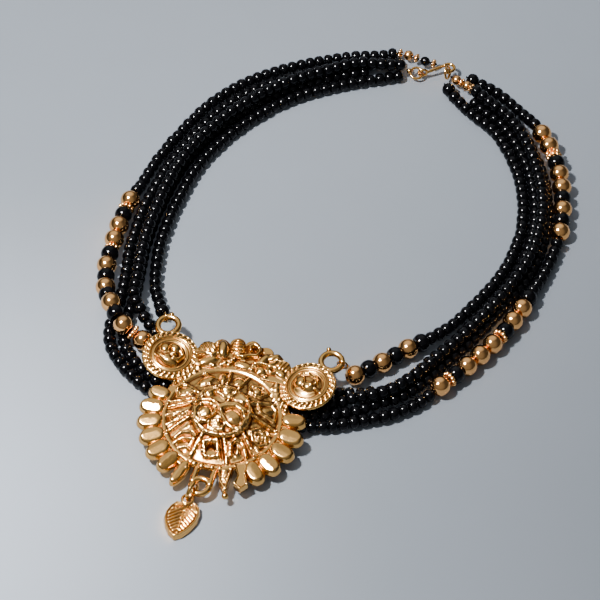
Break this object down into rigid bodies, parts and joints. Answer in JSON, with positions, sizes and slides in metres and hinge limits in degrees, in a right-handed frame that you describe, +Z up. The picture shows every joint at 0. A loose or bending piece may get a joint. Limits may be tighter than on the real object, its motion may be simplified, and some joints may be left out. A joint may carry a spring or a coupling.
{
  "type": "mangalsutra necklace",
  "caption": "Bead necklace laid flat in a loop: strings of black seed beads with gold and black accent beads, a cast gold pendant with a leaf drop, and a hook clasp.",
  "frame": {"origin": "middle of the footprint, on the floor that the necklace lies on", "axes": "+Y from the pendant towards the clasp, +Z up off the floor, +X to the wearer's left string seen in the picture's right"},
  "size_m": [0.1442, 0.1901, 0.0097],
  "materials": {
    "seed_glass": "opaque glossy black glass seed beads on a black thread",
    "black_glass": "opaque glossy black glass",
    "gold_bead": "satin-polished gold-coloured plating",
    "granulated_gold": "polished gold-coloured granules",
    "pendant_gold": "cast, polished high spots, darker recesses",
    "leaf_gold": "cast, polished",
    "wire_gold": "polished round wire"
  },
  "bodies": {
    "root": {"pendant": "pendant_gold", "leaf_drop": "leaf_gold", "drop_ring": "wire_gold", "left_link": "wire_gold", "right_link": "wire_gold", "outer_left_string": "seed_glass", "second_left_string": "seed_glass", "third_left_string": "seed_glass", "top_left_string": "seed_glass", "inner_left_string": "seed_glass", "outer_right_string": "seed_glass", "second_right_string": "seed_glass", "third_right_string": "seed_glass", "top_right_string": "seed_glass", "inner_right_string": "seed_glass", "left_gold_1": "gold_bead", "left_gold_2": "gold_bead", "left_gold_3": "gold_bead", "left_gold_4": "gold_bead", "left_gold_5": "gold_bead", "left_gold_6": "gold_bead", "left_gold_7": "gold_bead", "left_gold_8": "gold_bead", "upper_gold_1": "gold_bead", "upper_gold_2": "gold_bead", "upper_gold_3": "gold_bead", "upper_gold_4": "gold_bead", "upper_gold_5": "gold_bead", "upper_gold_6": "gold_bead", "lower_gold_1": "gold_bead", "lower_gold_2": "gold_bead", "lower_gold_3": "gold_bead", "lower_gold_4": "gold_bead", "lower_gold_5": "gold_bead", "lower_gold_6": "gold_bead", "inner_gold_1": "gold_bead", "inner_gold_2": "gold_bead", "inner_gold_3": "gold_bead", "left_black_beads": "black_glass", "upper_black_beads": "black_glass", "lower_black_beads": "black_glass", "inner_black_beads": "black_glass", "clasp_black_beads": "black_glass", "left_loop_bead": "black_glass", "left_spacers": "granulated_gold", "upper_spacer": "granulated_gold", "lower_spacers": "granulated_gold", "clasp_left_gold": "granulated_gold", "clasp_right_gold": "granulated_gold", "left_ring": "wire_gold", "hook": "wire_gold", "right_ring": "wire_gold"}
  },
  "joints": []
}
